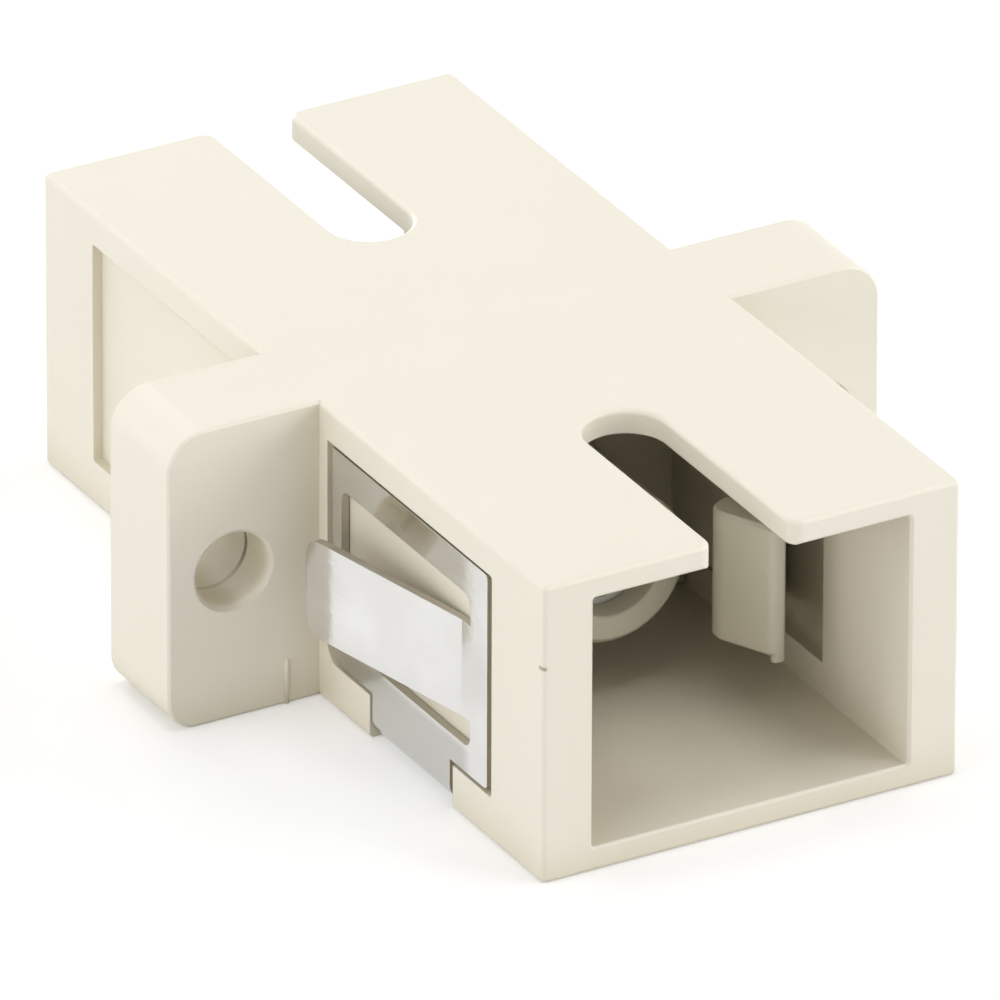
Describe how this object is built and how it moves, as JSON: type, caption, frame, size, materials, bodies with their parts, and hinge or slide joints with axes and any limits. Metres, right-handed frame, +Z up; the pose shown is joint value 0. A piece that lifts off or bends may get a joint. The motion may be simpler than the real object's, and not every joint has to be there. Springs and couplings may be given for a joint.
{
  "type": "fibre optic coupler module",
  "caption": "Flanged plastic adaptor that joins push-pull fibre plugs end to end, with a split alignment sleeve, latch hooks and a steel panel clip.",
  "frame": {"origin": "on the plug axis, half way along the body, at the middle of the flange and of the overall box", "axes": "X across the two ears, +Y along the plug axis towards the end without the clip, +Z up through the key slots"},
  "size_m": [0.022, 0.0278, 0.0088],
  "materials": {
    "housing_plastic": "satin moulded cream plastic",
    "insert_plastic": "satin moulded beige plastic",
    "sleeve_ceramic": "polished white ceramic",
    "clip_steel": "bright rolled stainless spring steel"
  },
  "bodies": {
    "root": {"housing": "housing_plastic", "front_latch_insert": "insert_plastic", "rear_latch_insert": "insert_plastic", "alignment_sleeve": "sleeve_ceramic", "mounting_clip": "clip_steel"}
  },
  "joints": []
}
